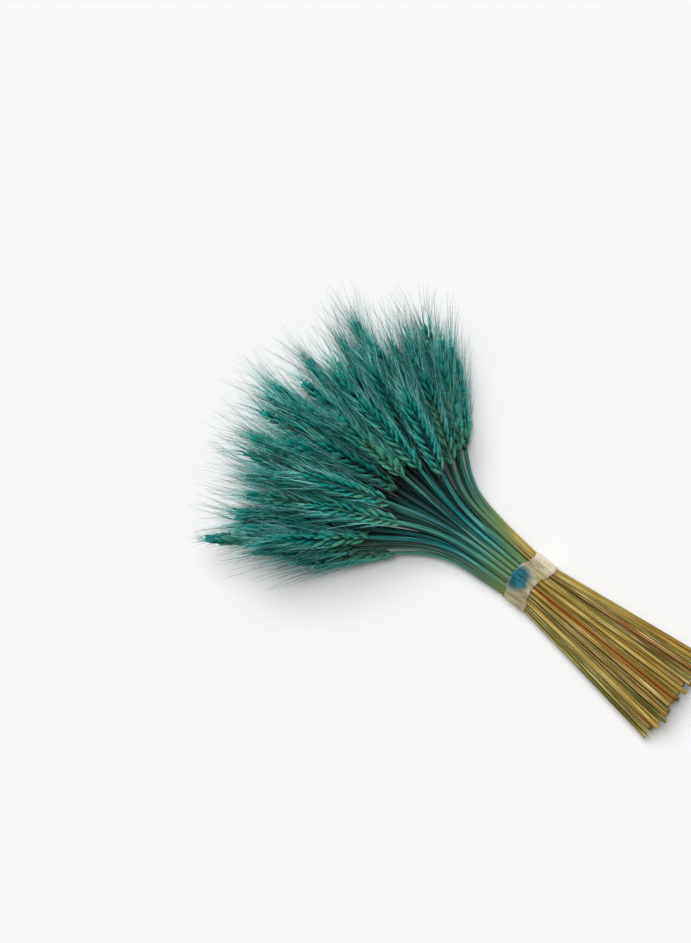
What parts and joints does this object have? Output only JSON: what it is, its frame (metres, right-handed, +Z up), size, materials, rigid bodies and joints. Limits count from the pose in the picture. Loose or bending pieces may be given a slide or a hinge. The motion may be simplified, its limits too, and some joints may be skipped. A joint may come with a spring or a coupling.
{
  "type": "tied bunch of wheat",
  "caption": "A sheaf of bearded wheat ears on long straws, dyed teal above the tie and bare straw below, bound at the waist by a band of clear tape and lying on its side.",
  "frame": {"origin": "middle of the flat underside of the tape band, on the surface that the bunch lies on", "axes": "+X along the straws towards the ears, +Y towards the left of somebody who looks along +X, +Z up"},
  "size_m": [0.3975, 0.2765, 0.1243],
  "materials": {
    "dyed_straw": "matt dyed straw",
    "clear_tape": "satin"
  },
  "bodies": {
    "root": {"stalk_01": "dyed_straw", "stalk_02": "dyed_straw", "stalk_03": "dyed_straw", "stalk_04": "dyed_straw", "stalk_05": "dyed_straw", "stalk_06": "dyed_straw", "stalk_07": "dyed_straw", "stalk_08": "dyed_straw", "stalk_09": "dyed_straw", "stalk_10": "dyed_straw", "stalk_11": "dyed_straw", "stalk_12": "dyed_straw", "stalk_13": "dyed_straw", "stalk_14": "dyed_straw", "stalk_15": "dyed_straw", "stalk_16": "dyed_straw", "stalk_17": "dyed_straw", "stalk_18": "dyed_straw", "stalk_19": "dyed_straw", "stalk_20": "dyed_straw", "stalk_21": "dyed_straw", "stalk_22": "dyed_straw", "stalk_23": "dyed_straw", "stalk_24": "dyed_straw", "stalk_25": "dyed_straw", "stalk_26": "dyed_straw", "stalk_27": "dyed_straw", "stalk_28": "dyed_straw", "stalk_29": "dyed_straw", "stalk_30": "dyed_straw", "stalk_31": "dyed_straw", "stalk_32": "dyed_straw", "stalk_33": "dyed_straw", "stalk_34": "dyed_straw", "stalk_35": "dyed_straw", "stalk_36": "dyed_straw", "stalk_37": "dyed_straw", "stalk_38": "dyed_straw", "stalk_39": "dyed_straw", "stalk_40": "dyed_straw", "stalk_41": "dyed_straw", "stalk_42": "dyed_straw", "stalk_43": "dyed_straw", "stalk_44": "dyed_straw", "stalk_45": "dyed_straw", "stalk_46": "dyed_straw", "stalk_47": "dyed_straw", "stalk_48": "dyed_straw", "stalk_49": "dyed_straw", "stalk_50": "dyed_straw", "stalk_51": "dyed_straw", "tape_tie": "clear_tape"}
  },
  "joints": []
}
